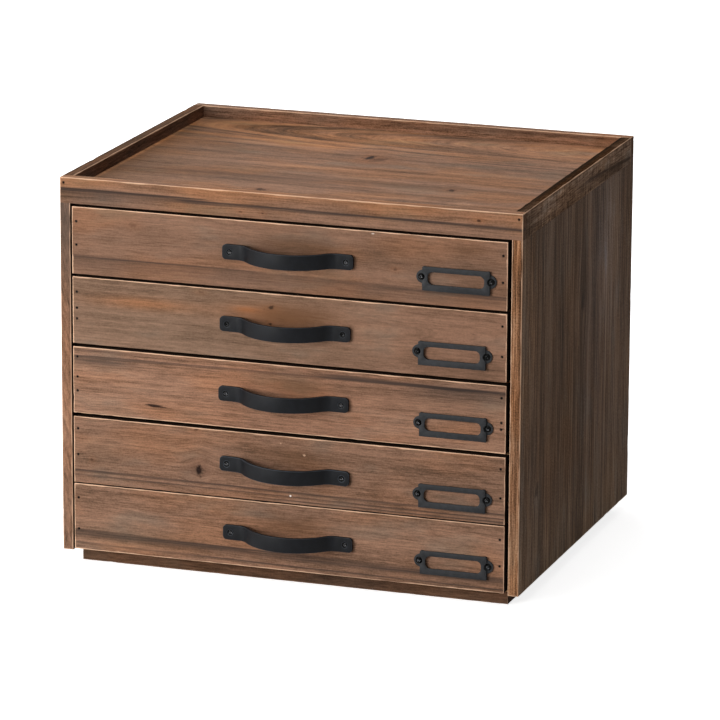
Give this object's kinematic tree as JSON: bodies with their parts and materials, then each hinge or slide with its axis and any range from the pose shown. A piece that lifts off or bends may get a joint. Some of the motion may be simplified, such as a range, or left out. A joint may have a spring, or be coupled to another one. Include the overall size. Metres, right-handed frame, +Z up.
{
  "type": "document drawer cabinet",
  "caption": "Table-top cabinet of stained wood with shallow document drawers, strap handles, card holders, a railed tray on top and a set-back plinth.",
  "frame": {"origin": "middle of the bounding box, handles included, on the surface that the plinth stands on", "axes": "+X to the right seen from the front, -Y out of the drawer fronts, +Z up"},
  "size_m": [0.35, 0.3, 0.29],
  "materials": {
    "drawer_front_wood": "brown stain, worn edges",
    "carcass_wood": "brown stain, worn edges",
    "inner_wood": "planed, unstained",
    "plywood": "sanded, unstained",
    "handle_iron": "matt black",
    "label_iron": "aged black, rubbed",
    "screw_steel": "black",
    "nail_steel": "dull, dark"
  },
  "bodies": {
    "carcass": {"left_side_panel": "carcass_wood", "right_side_panel": "carcass_wood", "plinth_front": "carcass_wood", "plinth_back": "carcass_wood", "plinth_left": "carcass_wood", "plinth_right": "carcass_wood", "tray_front_rail": "carcass_wood", "tray_back_rail": "carcass_wood", "tray_left_rail": "carcass_wood", "tray_right_rail": "carcass_wood", "top_board": "carcass_wood", "bottom_board": "inner_wood", "back_panel": "plywood", "runner_pair_1": "inner_wood", "runner_pair_2": "inner_wood", "runner_pair_3": "inner_wood", "runner_pair_4": "inner_wood", "carcass_nails": "nail_steel"},
    "drawer_1": {"drawer_1_front": "drawer_front_wood", "drawer_1_left_side": "inner_wood", "drawer_1_right_side": "inner_wood", "drawer_1_back": "inner_wood", "drawer_1_bottom": "plywood", "drawer_1_handle": "handle_iron", "drawer_1_label_holder": "label_iron", "drawer_1_fasteners": "screw_steel"},
    "drawer_2": {"drawer_2_front": "drawer_front_wood", "drawer_2_left_side": "inner_wood", "drawer_2_right_side": "inner_wood", "drawer_2_back": "inner_wood", "drawer_2_bottom": "plywood", "drawer_2_handle": "handle_iron", "drawer_2_label_holder": "label_iron", "drawer_2_fasteners": "screw_steel"},
    "drawer_3": {"drawer_3_front": "drawer_front_wood", "drawer_3_left_side": "inner_wood", "drawer_3_right_side": "inner_wood", "drawer_3_back": "inner_wood", "drawer_3_bottom": "plywood", "drawer_3_handle": "handle_iron", "drawer_3_label_holder": "label_iron", "drawer_3_fasteners": "screw_steel"},
    "drawer_4": {"drawer_4_front": "drawer_front_wood", "drawer_4_left_side": "inner_wood", "drawer_4_right_side": "inner_wood", "drawer_4_back": "inner_wood", "drawer_4_bottom": "plywood", "drawer_4_handle": "handle_iron", "drawer_4_label_holder": "label_iron", "drawer_4_fasteners": "screw_steel"},
    "drawer_5": {"drawer_5_front": "drawer_front_wood", "drawer_5_left_side": "inner_wood", "drawer_5_right_side": "inner_wood", "drawer_5_back": "inner_wood", "drawer_5_bottom": "plywood", "drawer_5_handle": "handle_iron", "drawer_5_label_holder": "label_iron", "drawer_5_fasteners": "screw_steel"}
  },
  "joints": [
    {"name": "drawer_1_slide", "type": "slide", "parent": "carcass", "child": "drawer_1", "axis": [0, -1, 0], "range_m": [0, 0.21]},
    {"name": "drawer_2_slide", "type": "slide", "parent": "carcass", "child": "drawer_2", "axis": [0, -1, 0], "range_m": [0, 0.21]},
    {"name": "drawer_3_slide", "type": "slide", "parent": "carcass", "child": "drawer_3", "axis": [0, -1, 0], "range_m": [0, 0.21]},
    {"name": "drawer_4_slide", "type": "slide", "parent": "carcass", "child": "drawer_4", "axis": [0, -1, 0], "range_m": [0, 0.21]},
    {"name": "drawer_5_slide", "type": "slide", "parent": "carcass", "child": "drawer_5", "axis": [0, -1, 0], "range_m": [0, 0.21]}
  ]
}
